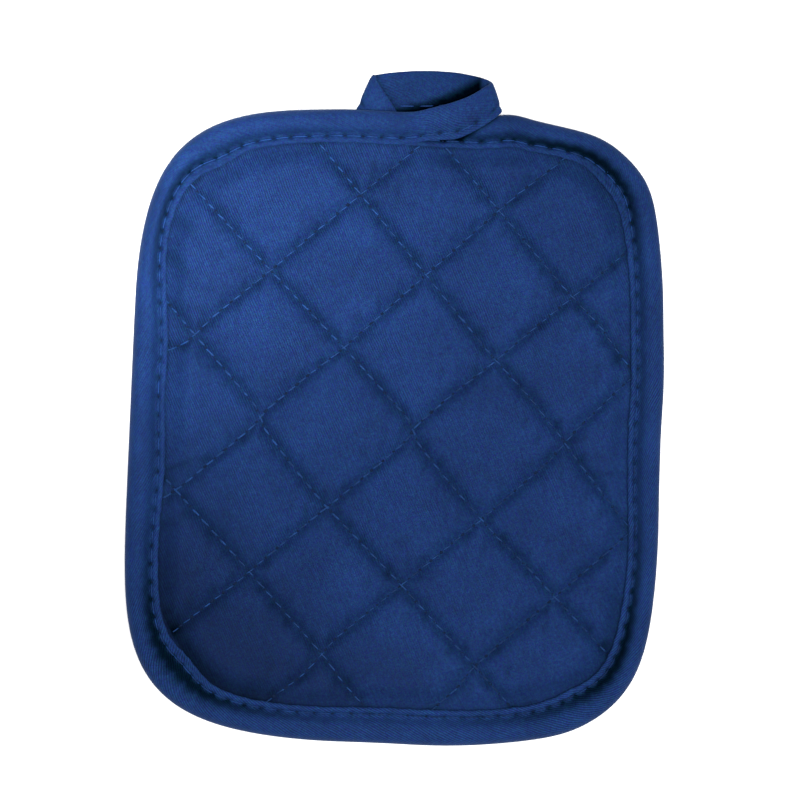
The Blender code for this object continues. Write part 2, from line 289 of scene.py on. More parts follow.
class Seam:
    """One row of quilting: a straight line with the needle's small wanderings."""

    def __init__(self, name, heading, offset, wander):
        turn = math.radians(heading)
        self.falls = name.startswith("falling")
        self.kind = FALLING if self.falls else RISING
        self.ahead = np.array((math.cos(turn), math.sin(turn))) * (-1 if self.falls else 1)
        upper = np.array((-self.ahead[1], self.ahead[0]))
        self.upper = upper if upper[1] > 0 else -upper
        self.offset = offset
        self.steps = np.arange(-140.0, 140.0, 0.5)
        path = np.interp(self.steps, *np.array(wander, float).T)
        soft = np.exp(-0.5 * (np.arange(-9, 10) / 3.0) ** 2)
        self.path = np.convolve(np.pad(path, 9, mode="edge"), soft / soft.sum(), "valid")

    def measure(self, x, y):
        """mm along the seam and mm to its upper side, for each point."""
        along = x * self.ahead[0] + y * self.ahead[1]
        across = x * self.upper[0] + y * self.upper[1] - self.offset
        return along, across - np.interp(along, self.steps, self.path)

    def at(self, along):
        """The points of the seam at these distances along it."""
        across = self.offset + np.interp(along, self.steps, self.path)
        return np.outer(along, self.ahead) + np.outer(across, self.upper)


ROWS = [Seam(*row) for row in SEAMS]


def quilted(x, y):
    """How full the wadding is by the seams and over each diamond, and how shaded the seams."""
    near, far, shade = np.ones_like(x), np.ones_like(x), np.zeros_like(x)
    for seam in ROWS:
        _, across = seam.measure(x, y)
        # The rows sewn over the others push the cloth up in front of the needle on one side.
        lean = 1.0 if seam.falls else np.where(across < 0, 0.82, 1.25)
        gap = np.abs(across) / lean
        filled = 1.0 - np.exp(-((gap / NEAR_REACH) ** 1.45))
        near = np.minimum(near, filled)
        shade = np.maximum(shade, seam.kind["shade"] * (1.0 - filled))
        far = far * (1.0 - np.exp(-((gap / FAR_REACH) ** 1.6)))
    return near, far, shade


def pad_heights(x, y):
    """Underside and top of the pad, and its painted shade: 0 darkest in a seam, 1 for none."""
    depth = inset(x, y)
    angle = polar(np.column_stack((x, y)))
    insets, low, high = np.array(PAD_EDGE).T
    lip = lip_reach(angle)
    past = depth - lip
    over = depth * LIP_IN / lip  # the same depth on a section whose lip reaches LIP_IN
    risen = smooth(past / EDGE_RISE)
    near, far, shade = quilted(x, y)
    top = squeeze(x, y, np.interp(over, insets, high))
    bottom = squeeze(x, y, np.interp(over, insets, low))
    full = SEAM_FRONT + PUFF_NEAR * near + PUFF_FAR * far * (1.0 + 0.35 * ripple(x, y, 34.0, 3))
    full = full + 0.12 * ripple(x, y, 9.0, 5) * near
    top = top + (full - top) * risen
    top = top - (1.0 - near) * 1.2 * smooth((over - 9.0) / 4.0) * (1.0 - risen)
    sunk = bumps(angle, SUNK_RIM) * bell(past - 1.2, 2.4) * smooth((over - 8.6) / 1.4)
    tucks = bumps(angle + 1.5 * ripple(x, y, 15.0, 53), TUCKS) * smooth((over - 9.0) / 1.5)
    tucks = tucks * bell(past.clip(0.0), TUCK_REACH)
    top = top - 0.55 * sunk - 0.45 * tucks
    under = SEAM_BACK * (1.0 - 0.75 * near - 0.6 * far)
    bottom = bottom + (under - bottom) * risen
    pucker_shade = (1.0 - far) * ripple(x, y, 6.5, 41).clip(0.0)
    # Painted shade: darker in the seams, over the sunk rim, beside the lip, in soft puckers that
    # are only painted, and along the tucks.
    unshaded = 1.0 - shade - 0.34 * sunk - 0.25 * bell(past, 0.8) - 0.18 * pucker_shade - 0.28 * tucks
    return np.maximum(bottom, 0.05), top, np.clip(unshaded, 0.0, 1.0)


def to_frame(points):
    """Millimetres about the middle of the edge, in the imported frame's metres."""
    points = np.asarray(points, float) * MM
    return points + np.array((MIDDLE[0], MIDDLE[1], 0.0))


def make_piece(name, points, faces, look):
    """A smooth mesh piece in the frame, with its material."""
    mesh = bpy.data.meshes.new(name)
    mesh.from_pydata(to_frame(points).tolist(), [], [tuple(map(int, face)) for face in faces])
    mesh.materials.append(look)
    mesh.polygons.foreach_set("use_smooth", np.ones(len(mesh.polygons), bool))
    mesh.update()
    piece = bpy.data.objects.new(name, mesh)
    bpy.context.scene.collection.objects.link(piece)
    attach(piece, "root")
    return piece


def give(piece, name, values):
    """A number or a vector at each vertex, which the material reads."""
    values = np.asarray(values, np.float32)
    kind = "FLOAT" if values.ndim == 1 else "FLOAT_VECTOR"
    attribute = piece.data.attributes.new(name, kind, "POINT")
    attribute.data.foreach_set("value" if kind == "FLOAT" else "vector", values.ravel())


def grid_points(columns, rows):
    """A net over the whole pad: a rectangle of cells whose corners are drawn in to the edge."""
    u, v = np.meshgrid(np.linspace(-1, 1, columns + 1), np.linspace(-1, 1, rows + 1))
    u, v = u.ravel(), v.ravel()
    rim = EDGE + INWARDS * PAD_START
    angle = np.arctan2(rim[:, 1], rim[:, 0]) % math.tau
    order = np.argsort(angle)
    half = np.array((HALF_WIDTH - PAD_START, HALF_LENGTH - PAD_START))
    x, y = half[0] * u, half[1] * v
    heading = np.arctan2(y, x) % math.tau
    reach = np.interp(heading, angle[order], np.hypot(*rim[order].T), period=math.tau)
    side = np.maximum(np.abs(np.cos(heading)) / half[0], np.abs(np.sin(heading)) / half[1])
    drawn = 1.0 + (reach * side - 1.0) * np.maximum(np.abs(u), np.abs(v)) ** 3
    return x * drawn, y * drawn


def grid_faces(columns, rows, first=0, flip=False):
    """The net's cells, from its first vertex."""
    corner = (np.arange(rows)[:, None] * (columns + 1) + np.arange(columns)).ravel() + first
    quads = np.column_stack((corner, corner + 1, corner + columns + 2, corner + columns + 1))
    return quads[:, ::-1] if flip else quads


def grid_rim(columns, rows, first=0):
    """The outer vertices of a net in order, anticlockwise."""
    wide = columns + 1
    bottom = np.arange(columns)
    right = columns + wide * np.arange(rows)
    top = rows * wide + np.arange(columns, 0, -1)
    left = wide * np.arange(rows, 0, -1)
    return np.concatenate((bottom, right, top, left)) + first


def make_pad(look):
    """The filled pad: a fine quilted front, a coarser back and the wall between, all one mesh."""
    fine, coarse = PAD_NET, (PAD_NET[0] // 2, PAD_NET[1] // 2)
    fine_x, fine_y = grid_points(*fine)
    coarse_x, coarse_y = grid_points(*coarse)
    _, top, unshaded_front = pad_heights(fine_x, fine_y)
    bottom, _, unshaded_back = pad_heights(coarse_x, coarse_y)
    points = np.vstack((
        np.column_stack((fine_x, fine_y, top)), np.column_stack((coarse_x, coarse_y, bottom)),
    ))
    first = len(fine_x)
    faces = [*grid_faces(*fine), *grid_faces(*coarse, first, flip=True)]
    front, back = grid_rim(*fine), grid_rim(*coarse, first)
    for step, low in enumerate(back):
        a, b, c = front[2 * step], front[2 * step + 1], front[(2 * step + 2) % len(front)]
        after = back[(step + 1) % len(back)]
        faces += [(low, b, a), (low, after, b), (after, c, b)]
    pad = make_piece("pad_cloth", points, faces, look)
    # Painted shade, which the material reads at each vertex.
    give(pad, "painted_shade_free", np.concatenate((unshaded_front, unshaded_back)))
    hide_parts("quilted_pad")


def through(rows, steps, closed=False):
    """A smooth curve through every row (Catmull-Rom), with so many steps between two rows."""
    rows = np.asarray(rows, float)
    if closed:
        rows = np.vstack((rows[-1:], rows, rows[:2]))
    else:
        rows = np.vstack((2 * rows[0] - rows[1], rows, 2 * rows[-1] - rows[-2]))
    made = []
    for a, b, c, d in zip(rows, rows[1:], rows[2:], rows[3:]):
        for t in np.arange(steps) / steps:
            square, cube = 2 * a - 5 * b + 4 * c - d, 3 * b - a - 3 * c + d
            made.append(0.5 * (2 * b + (c - a) * t + square * t * t + cube * t ** 3))
    if not closed:
        made.append(rows[-2])
    return np.array(made)


SKIN = 2 * len(TAPE_SKIN)  # how many points of the section are the outer skin
SECTION = through(TAPE_SKIN + TAPE_LINING, 2, closed=True)
SECTION = np.vstack((SECTION[:SKIN], SECTION[SKIN::2]))


def pinched(along):
    """1 at the needle holes of the binding, fading to 0 between them."""
    phase = (along / BINDING_PITCH + 0.5) % 1.0 - 0.5
    return bell(phase * BINDING_PITCH, 1.15)


def edge_height(x, y, depth, height, angle, along):
    """A height in the binding, with its deep corners and the pull of its stitches."""
    deep = bumps(angle, DEEP_GROOVES)
    front = smooth(height - FRONT_FROM)
    in_groove = bell(depth - GROOVE_IN, 1.0) * front
    on_roll = bell(depth - ROLL_IN, 2.2) * front
    at_holes = bell(depth - STITCH_IN, 0.7) * front * pinched(along)
    on_lip = bell(depth - LIP_TOP_IN, 0.6) * front
    height = height - in_groove * 0.32 * deep - 0.55 * at_holes
    height = height + on_roll * (0.10 * deep + 0.22 * ripple(x, y, 26.0, 11))
    height = height + on_lip * (0.15 * ripple(x, y, 7.0, 23) - 0.12 * deep)
    return np.maximum(squeeze(x, y, height), 0.02)  # just clear of the floor


def edge_place(edge, inwards, depth, height, along):
    """Points of the binding, by the edge beside them and their place in its section."""
    angle = polar(edge)
    wider = LIP_REACH + bumps(angle, LIP_SWAYS) - LIP_IN
    stretch = wider * smooth((depth - 2.5) / 5.5)
    stretch = stretch + bumps(angle, FOLDED_LIP) * smooth((depth - 8.2) / 1.6)
    scallop = 0.16 * pinched(along) - 0.10 * ripple(edge[:, 0], edge[:, 1], 9.0, 29)
    reach = depth + stretch + bell(depth - LIP_IN, 0.9) * scallop
    x, y = (edge + inwards * reach[:, None]).T
    return np.column_stack((x, y, edge_height(x, y, depth, height, angle, along)))


def top_station(x):
    """The station of the top edge that is nearest to x."""
    return int(np.argmin(np.where(EDGE[:, 1] > 0, np.abs(EDGE[:, 0] - x), np.inf)))


def tape_path():
    """Stations of the edge clockwise, once round and on to where the tape has overlapped."""
    start = top_station(TAPE_START_X)
    overlap = (start - top_station(TAPE_END_X)) % len(EDGE)
    return (start - np.arange(len(EDGE) - 1 + overlap)) % len(EDGE)


TAPE_PATH = tape_path()


def strip_section(upper, lower, out):
    """The folded tape laid flat: both plies together, a soft fold above and two lips below."""
    # Each point: its share of the way from the upper to the lower edge, and how proud it stands.
    skin = (
        (1.0, -0.2), (1.01, 0.35), (0.985, 0.9), (0.93, 1.0), (0.87, 0.9), (0.82, 0.65),
        (0.77, 0.80), (0.71, 1.05), (0.63, 1.2), (0.53, 1.25), (0.43, 1.3), (0.33, 1.3),
        (0.24, 1.3), (0.17, 1.25), (0.08, 1.1), (0.02, 0.7), (0.0, 0.0), (0.02, -0.7),
        (0.10, -1.0), (0.20, -1.0), (0.35, -1.0), (0.55, -1.0), (0.80, -0.85), (0.96, -1.0),
        (1.0, -0.7),
    )
    lining = (
        (0.99, -0.45), (0.92, -0.45), (0.70, -0.4), (0.45, -0.4), (0.25, -0.35), (0.08, 0.0),
        (0.12, 0.35), (0.20, 0.45), (0.32, 0.45), (0.50, 0.4), (0.68, 0.3), (0.80, 0.1),
        (0.93, 0.3),
    )
    place, proud = np.array(skin + lining).T
    rows = upper + np.outer(place, lower - upper) + np.outer(proud * LOOP_THICK / 2, out)
    made = through(rows, 2, closed=True)
    return np.vstack((made[:SKIN], made[SKIN::2]))


def loop_shade(rings, first_loose, on_front):
    """The deep shade inside the loop, beside its fold, and on the edge beneath its strand."""
    x, y = rings[:, :, 0], rings[:, :, 1]
    number = np.arange(len(rings))[:, None]
    point = np.arange(rings.shape[1])
    inner_face = (point >= 0.62 * SKIN) & (point < SKIN)
    turn = first_loose + LOOP_STEPS * LOOP_NAMES.index("turn")
    fold = first_loose + LOOP_STEPS * LOOP_NAMES.index("fold")
    strand = np.array([row[1:] for row in LOOP[: LOOP_NAMES.index("turn") + 1]], float)
    above = y - np.interp(x, strand[:, 0], strand[:, 1])
    below = np.interp(x, strand[:, 3], strand[:, 4]) - y
    reach = (2.3 + 0.15 * (x - 5.8)).clip(1.0, 4.2)
    inside = np.exp(-(((above - 0.9).clip(0.0) / reach) ** 3)) * window(x, (-7.0, 1.0, 21.8, 23.8))
    inside = inside + 0.11 * window(x, (-9.0, -4.0, 22.0, 24.0))
    inside = inside * (number > turn - 2) * inner_face
    # The crease that the fold makes across the back strand.
    crease_y, crease_x = (97.0, 101.4, 105.6, 110.3, 111.8), (-0.6, -3.8, -6.9, -10.3, -11.5)
    beside = bell((x - np.interp(y, crease_y, crease_x)).clip(0.0), 1.7)
    beside = beside * ((number > turn) & (number < fold)) * inner_face
    beneath = bell(below.clip(0.0), 0.9) * window(x, (3.0, 12.0, 28.0, 30.5))
    beneath = beneath * (number < first_loose - 40) * on_front
    return inside + 0.45 * beside + 0.7 * beneath


def tape_on_edge():
    """The folded section at each station of the edge, and the mm of tape up to each."""
    edge, inwards = EDGE[TAPE_PATH], INWARDS[TAPE_PATH]
    along = np.arange(len(edge)) * (ROUND / len(EDGE))
    ones = np.ones(len(edge))
    rings = np.stack([
        edge_place(edge, inwards, depth * ones, height * ones, along) for depth, height in SECTION
    ], axis=1)
    last = np.arange(len(edge)) > len(edge) - LAST_STATIONS
    keep = ~(last & (edge[:, 0] > RUNS_OFF_X))
    return rings[keep], along[keep]


def loose_tape(base):
    """The loop, easing out of the edge's section, and the mm of tape from base up to each ring."""
    strip = through([row[1:] for row in LOOP], LOOP_STEPS)
    upper, lower = strip[:, :3], strip[:, 3:]
    middle = (upper + lower) / 2
    out = np.cross(np.gradient(middle, axis=0), upper - lower)
    out /= np.linalg.norm(out, axis=1, keepdims=True)
    steps = np.linalg.norm(np.diff(middle, axis=0), axis=1)
    along = np.concatenate(([0.0], np.cumsum(steps)))
    count = len(SECTION)
    rings = []
    for number, place in enumerate(along):
        ring = strip_section(upper[number], lower[number], out[number])
        share = float(smooth((place + 0.5) / LOOP_EASE))
        if share < 1.0:
            near = top_station(RUNS_OFF_X + place)
            edge, inwards = np.tile(EDGE[near], (count, 1)), np.tile(INWARDS[near], (count, 1))
            own = edge_place(edge, inwards, *SECTION.T, np.full(count, base + place))
            ring = own * (1.0 - share) + ring * share
        rings.append(ring)
    return np.array(rings), base + along


def tape_unshaded(rings, along, first_loose):
    """Painted shade on the tape, 1 for none: in its groove, at its holes, on its folded lip, in the
    loop.
    """
    angle = polar(rings[:, SKIN // 2, :2])[:, None]
    number = np.arange(len(rings))[:, None]
    depth, height = SECTION.T
    on_front = ((np.arange(len(SECTION)) < SKIN) & (height > 4.5))[None, :]
    on_edge = number < len(TAPE_PATH) - LAST_STATIONS
    pulled = pinched(along)[:, None]
    deep = bumps(angle, DEEP_GROOVES)
    bite = depth[None, :] - GROOVE_IN + 0.35 - 0.50 * pulled  # drawn in towards each hole
    soft = np.where(bite > 0.0, 0.85, 1.10 + 0.36 * deep.clip(0.0))
    in_groove = bell(bite, soft) * on_front
    at_holes = pulled * bell(depth - STITCH_IN + 0.35, 0.7)[None, :] * on_front
    # Painted shade along the second line of the folded lip.
    lip_fold_shade = bell(depth - LIP_FOLD_IN, 0.30)[None, :] * on_front
    lip_fold_shade = lip_fold_shade * bumps(angle, FOLDED_LIP).clip(0.0, 1.0)
    # Painted shade in the groove and at the needle holes, deepest at the corners.
    painted_dark = in_groove * (0.12 + 0.38 * deep * on_edge) + (0.36 + 0.12 * deep) * at_holes
    painted_dark = painted_dark + 0.40 * lip_fold_shade * on_edge * (1.0 - 0.5 * pulled)
    painted_dark = np.minimum(painted_dark, 0.88) + loop_shade(rings, first_loose, on_front)
    return np.clip(1.0 - painted_dark, 0.0, 1.0)


def make_tape(look):
    """The binding and its loose tail, which is one tape: round the edge, off it, back and under."""
    rings, along = tape_on_edge()
    first_loose = len(rings)
    loose, loose_along = loose_tape(along[-1])
    rings = np.concatenate((rings, loose[1:]))
    along = np.concatenate((along, loose_along[1:]))
    index = np.arange(rings.shape[0] * rings.shape[1]).reshape(rings.shape[:2])
    after = np.roll(index, -1, axis=1)
    quads = np.stack((index[:-1], index[1:], after[1:], after[:-1]), axis=-1).reshape(-1, 4)
    faces = [*quads, index[0], index[-1][::-1]]
    tape = make_piece("binding_tape", rings.reshape(-1, 3), faces, look)
    # The wales follow the tape: one run across it for the whole edge, and the strip's own.
    sides = np.linalg.norm(np.diff(rings, axis=1, prepend=rings[:, :1]), axis=2)
    run = np.cumsum(sides, axis=1)
    own = smooth((np.arange(len(rings)) - first_loose) / 14.0)[:, None]
    run = run * own + run[first_loose // 2] * (1.0 - own)
    tape_mm = np.stack((np.broadcast_to(along[:, None], run.shape), run, 0.0 * run), axis=-1)
    give(tape, "tape_mm", tape_mm)
    # Painted shade, which the material reads at each vertex.
    give(tape, "painted_shade_free", tape_unshaded(rings, along, first_loose).ravel())
    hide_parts("edge_binding", "hang_loop")
    return tape, along, rings, first_loose


def stitch_shape(sides=6, rings=9, turns=1.25):
    """One stitch: a thread that comes up, lies along the cloth and goes down, 1 mm long, 1 wide."""
    points, faces = [], []
    for number in range(rings):
        t = 2.0 * number / (rings - 1) - 1.0
        radius = 0.5 * max(1.0 - t ** 6, 0.05) ** 0.5
        rise = 1.0 - abs(t) ** 3.0
        for side in range(sides):
            angle = math.tau * side / sides
            twist = math.tau * turns * t
            reach = radius * (1.0 + 0.20 * math.cos(2.0 * (angle - twist)))
            points.append((t * 0.5, reach * math.cos(angle), rise, reach * math.sin(angle)))
    for number in range(rings - 1):
        for side in range(sides):
            after = (side + 1) % sides
            a, b = number * sides, (number + 1) * sides
            faces.append((a + side, a + after, b + after, b + side))
    faces.append(tuple(range(sides))[::-1])
    faces.append(tuple(range((rings - 1) * sides, rings * sides)))
    return np.array(points), faces


def lay_stitches(name, stitches, look):
    """All the stitches of one kind in one mesh: (middle, ahead, up, length, width, arch) each."""
    shape, shape_faces = stitch_shape()
    points, faces = [], []
    for middle, ahead, up, length, width, arch in stitches:
        side = np.cross(up, ahead)
        made = middle + np.outer(shape[:, 0] * length, ahead) + np.outer(shape[:, 1] * width, side)
        made += np.outer(shape[:, 2] * arch + shape[:, 3] * width * 0.8, up)
        first = len(points) * len(shape)
        points.append(made)
        faces += [tuple(first + corner for corner in face) for face in shape_faces]
    return make_piece(name, np.vstack(points), faces, look)


def lay_holes(name, holes, look, on_pad=False, rings=3, sides=8):
    """The dark needle holes: small sunk lentils, (middle, ahead, up, length, width) each."""
    points, faces = [], []
    for middle, ahead, up, length, width in holes:
        long_way, wide_way = ahead * length / 2, np.cross(up, ahead) * width / 2
        first = len(points)
        points.append(middle + up * 0.10)
        for reach in np.arange(1, rings + 1) / rings:
            for turn in np.arange(sides) * math.tau / sides:
                flat = (long_way * math.cos(turn) + wide_way * math.sin(turn)) * reach
                points.append(middle + flat + up * (0.10 - 0.30 * reach ** 2))
        points.append(middle - up * 0.35)
        last = first + 1 + (rings - 1) * sides
        for turn in range(sides):
            after = (turn + 1) % sides
            faces.append((first, first + 1 + turn, first + 1 + after))
            faces.append((last + after, last + turn, last + sides))
            for a in range(first + 1, last, sides):
                faces.append((a + turn, a + sides + turn, a + sides + after, a + after))
    points = np.array(points)
    if on_pad:  # laid to the cloth, with only the tip of each pushed through it
        reach = np.concatenate(([0.0], np.repeat(np.arange(1, rings + 1) / rings, sides)))
        lift = np.append(0.16 - 0.08 * reach, -0.45)
        points[:, 2] = pad_heights(points[:, 0], points[:, 1])[1] + np.tile(lift, len(holes))
    return make_piece(name, points, faces, look)


def unit(vector):
    """The same direction, 1 long."""
    return vector / np.linalg.norm(vector)


def quilt_stitches():
    """Places of the quilting stitches on the front and the back, and of the needle holes."""
    front, back, holes = [], [], []
    for seam in ROWS:
        along = np.arange(-136.0, 136.0, QUILT_PITCH) + RNG.uniform(-1.0, 1.0)
        along = along + RNG.normal(0.0, 0.16, len(along))
        places, beyond = seam.at(along), seam.at(along + 0.6)
        gaps = seam.at(along + QUILT_PITCH / 2)
        depth = inset(places[:, 0], places[:, 1])
        bottom, top, _ = pad_heights(*places.T)
        slope = (pad_heights(*beyond.T)[1] - top) / 0.6
        top_gap = pad_heights(*gaps.T)[1]
        ways = beyond - places
        ways /= np.linalg.norm(ways, axis=1, keepdims=True)
        cast = math.radians(seam.kind["cast"])
        cos, sin = math.cos(cast), math.sin(cast)
        ways = ways @ np.array(((cos, sin), (-sin, cos)))
        for number in np.flatnonzero(depth > lip_reach(polar(places)) - 0.4):
            ahead = unit(np.array((*ways[number], slope[number])))
            up = np.cross(ahead, unit(np.array((-ahead[1], ahead[0], 0.0))))
            length = QUILT_STITCH + RNG.normal(0.0, 0.40)
            width = seam.kind["thread"] + RNG.normal(0, 0.05)
            middle = np.array((*places[number], top[number]))
            front.append((middle, ahead, up, length, width, 0.20))
            if depth[number] > LIP_REACH + 1.5:  # clear of the binding on the back
                under = np.array((*places[number], max(bottom[number] - 0.02, 0.42)))
                down = np.array((0.0, 0.0, -1.0))
                back.append((under, -ahead * (1, 1, 0), down, length, 0.5, 0.15))
            gap = np.array((*gaps[number], top_gap[number]))
            size = 1.15 + RNG.normal(0, 0.30), 0.80 + RNG.normal(0, 0.18)
            holes.append((gap, ahead, up, *size))
    return front, back, holes


def edge_stitches(along, rings, first_loose):
    """Stitches and holes of the binding, along the groove of the tape and down its back."""
    threads, holes = [], []
    front, back = SECTION[: SKIN // 2, 0], SECTION[SKIN // 2 : SKIN, 0]
    groove = int(np.argmin(np.abs(front - STITCH_IN)))
    under = SKIN // 2 + int(np.argmin(np.abs(back - STITCH_IN)))
    places = (np.arange(1, int(along[-1] / BINDING_PITCH) - 2) + 0.5) * BINDING_PITCH
    for line, side_up in ((groove, 1.0), (under, -1.0)):
        curve = rings[:, line]
        for place in places:
            at, on, gap = (
                np.array([np.interp(place + more, along, curve[:, axis]) for axis in range(3)])
                for more in (0.0, 1.0, BINDING_PITCH / 2)
            )
            number = int(np.clip(np.searchsorted(along, place), 1, len(along) - 2))
            row = (number - first_loose) / LOOP_STEPS
            if any(low < row < high for low, high in BARE):
                continue
            ahead = unit(on - at)
            up = unit(np.cross(ahead, rings[number, line + 2] - rings[number, line - 2]))
            if side_up * up[2] < 0 and abs(up[2]) > 0.3 and number < len(along) - 130:
                up = -up  # the section winds the other way only on the back of the loop
            length = BINDING_STITCH + RNG.normal(0, 0.25)
            threads.append((at + up * 0.05, ahead, up, length, 0.50, 0.20))
            if side_up > 0:
                size = 1.3 + RNG.normal(0, 0.2), 0.85 + RNG.normal(0, 0.12)
                holes.append((gap + up * 0.14, ahead, up, *size))
    return threads, holes


# Materials ------------------------------------------------------------------------------------


class Nodes:
    """A new material, with short names for making and joining its nodes."""

    def __init__(self, name):
        self.material = bpy.data.materials.new(name)
        self.material.use_nodes = True
        self.tree = self.material.node_tree
        self.shader = self.tree.nodes["Principled BSDF"]

    def put(self, value, socket):
        """Join a node's output to a socket, or set the socket's own value."""
        if isinstance(value, bpy.types.NodeSocket):
            self.tree.links.new(value, socket)
        else:
            socket.default_value = value

    def object_place(self):
        return self.tree.nodes.new("ShaderNodeTexCoord").outputs["Object"]

    def math(self, operation, *values, clamp=False):
        node = self.tree.nodes.new("ShaderNodeMath")
        node.operation, node.use_clamp = operation, clamp
        for value, socket in zip(values, node.inputs):
            self.put(value, socket)
        return node.outputs[0]

    def times(self, a, b):
        return self.math("MULTIPLY", a, b)

    def plus(self, a, b, clamp=False):
        return self.math("ADD", a, b, clamp=clamp)

    def dot(self, vector, direction):
        node = self.tree.nodes.new("ShaderNodeVectorMath")
        node.operation = "DOT_PRODUCT"
        self.put(vector, node.inputs[0])
        node.inputs[1].default_value = direction
        return node.outputs["Value"]

    def flat(self, x, y):
        """A place in the plane of the cloth."""
        node = self.tree.nodes.new("ShaderNodeCombineXYZ")
        self.put(x, node.inputs[0])
        self.put(y, node.inputs[1])
        return node.outputs[0]

    def attribute(self, name, output):
        node = self.tree.nodes.new("ShaderNodeAttribute")
        node.attribute_name = name
        return node.outputs[output]

    def noise(self, vector, scale, detail=2.0, rough=0.5, output="Fac"):
        node = self.tree.nodes.new("ShaderNodeTexNoise")
        self.put(vector, node.inputs["Vector"])
        node.inputs["Scale"].default_value = scale
        node.inputs["Detail"].default_value = detail
        node.inputs["Roughness"].default_value = rough
        return node.outputs[output]

    def flecks(self, vector, scale, swing):
        """Red, green and blue that each wander about 1 by this much, and stay over 0.2."""
        sized = self.tree.nodes.new("ShaderNodeVectorMath")
        sized.operation = "MULTIPLY_ADD"
        self.put(self.noise(vector, scale, 3.0, 0.65, "Color"), sized.inputs[0])
        sized.inputs[1].default_value = swing
        sized.inputs[2].default_value = tuple(1.0 - part / 2 for part in swing)
        floor = self.tree.nodes.new("ShaderNodeVectorMath")
        floor.operation = "MAXIMUM"
        self.put(sized.outputs[0], floor.inputs[0])
        floor.inputs[1].default_value = (0.2, 0.2, 0.2)
        return floor.outputs[0]

    def ramp(self, factor, stops):
        node = self.tree.nodes.new("ShaderNodeValToRGB")
        self.put(factor, node.inputs[0])
        ramp, stops = node.color_ramp, list(stops)
        while len(ramp.elements) < len(stops):
            ramp.elements.new(0.5)
        for element, (place, colour) in zip(ramp.elements, stops):
            element.position, element.color = place, (*colour, 1.0)
        return node.outputs["Color"]

    def shade(self, a, b):
        """One colour multiplied by another."""
        node = self.tree.nodes.new("ShaderNodeMix")
        node.data_type, node.blend_type = "RGBA", "MULTIPLY"
        for value, socket in ((1.0, 0), (a, 6), (b, 7)):  # the factor and the two colours
            self.put(value, node.inputs[socket])
        return node.outputs[2]

    def bump(self, height, strength, distance, normal=None):
        node = self.tree.nodes.new("ShaderNodeBump")
        node.inputs["Strength"].default_value = strength
        node.inputs["Distance"].default_value = distance
        self.put(height, node.inputs["Height"])
        if normal is not None:
            self.put(normal, node.inputs["Normal"])
        return node.outputs[0]

    def set(self, **values):
        for name, value in values.items():
            self.put(value, self.shader.inputs[name.replace("_", " ")])


WALE_PITCH = 0.74  # mm
# What the cloth's colour is multiplied by for painted shade, from darkest in a seam or a groove to
# none.
PAINTED_SHADE_RAMP = (
    (0.0, (0.03, 0.06, 0.04)), (0.12, (0.14, 0.27, 0.16)), (0.3, (0.28, 0.39, 0.29)),
    (0.65, (0.64, 0.72, 0.64)), (1.0, (1, 1, 1)),
)


def twill(name, place, wale_turn, dyes, rake, clear, strong):
    """Dyed cotton twill: steep wales, uneven yarns and slubs.

    place is an attribute in mm across the cloth, or None to lay the twill flat over the object.
    The wales turn wale_turn degrees, and dyes are the darkest, usual and palest colours. The light
    rakes the wales more in the direction rake; clear and strong are how widely and how much.
    """
    made = Nodes(name)
    where, mm = (made.attribute(place, "Vector"), 1.0) if place else (made.object_place(), 1000.0)
    turn = math.radians(wale_turn)
    with_wale = made.dot(where, (math.cos(turn) * mm, math.sin(turn) * mm, 0.0))
    over_wale = made.dot(where, (-math.sin(turn) * mm, math.cos(turn) * mm, 0.0))
    flat = made.flat(with_wale, over_wale)
    drift = made.times(made.noise(flat, 0.10), 12.0)
    wale = made.math("SINE", made.plus(made.times(over_wale, math.tau / WALE_PITCH), drift))
    raked = made.plus(made.dot(made.object_place(), (*rake, 0.0)), clear - 0.8)
    seen = made.plus(made.times(made.noise(flat, 0.07), 1.6), raked, clamp=True)
    wale = made.times(wale, seen)
    long_yarn = made.noise(made.flat(made.times(with_wale, 0.18), over_wale), 1.3, 3.0, 0.65)
    across = made.flat(made.times(with_wale, 1.9), made.times(over_wale, 0.5))
    cross_yarn = made.noise(across, 0.9, 3.0, 0.6)
    grain = made.noise(flat, 0.85, 4.0, 0.7)
    cloud = made.noise(flat, 0.05, 3.0, 0.5)
    mixed = made.math("MULTIPLY_ADD", wale, strong, 0.5)
    for noise, share in ((long_yarn, 0.30), (cross_yarn, 0.16), (grain, 0.30), (cloud, 0.28)):
        mixed = made.plus(mixed, made.math("MULTIPLY_ADD", noise, share, -0.5 * share))
    colour = made.ramp(mixed, zip((0.30, 0.50, 0.70), dyes))
    colour = made.shade(colour, made.flecks(flat, 2.6, (7.2, 3.6, 0.9)))
    # Painted shade in the seams, grooves, tucks and the loop, read at each vertex.
    unshaded = made.attribute("painted_shade_free", "Fac")
    colour = made.shade(colour, made.ramp(unshaded, PAINTED_SHADE_RAMP))
    if not place:  # painted shade: the pad's colour darker towards its lower left, where less light falls
        corner = made.plus(made.dot(made.object_place(), (-6.0, -7.0, 0.0)), -0.45, clamp=True)
        lower_left_shade = made.ramp(corner, ((0.0, (1, 1, 1)), (0.38, (0.36, 0.54, 0.58))))
        colour = made.shade(colour, lower_left_shade)
    made.put(colour, made.shader.inputs["Base Color"])
    fine = made.bump(made.plus(made.times(wale, 0.35), made.times(cross_yarn, 0.9)), 0.6, 0.00014)
    made.put(made.bump(cloud, 0.25, 0.0016, fine), made.shader.inputs["Normal"])
    rough = made.math("MULTIPLY_ADD", long_yarn, 0.18, 0.74)
    made.put(rough, made.shader.inputs["Roughness"])
    made.put(made.times(unshaded, 0.10), made.shader.inputs["Specular IOR Level"])
    made.put(made.times(unshaded, 0.05), made.shader.inputs["Sheen Weight"])
    made.set(Sheen_Roughness=0.5, Sheen_Tint=(0.2, 0.5, 1.0, 1.0))
    return made.material


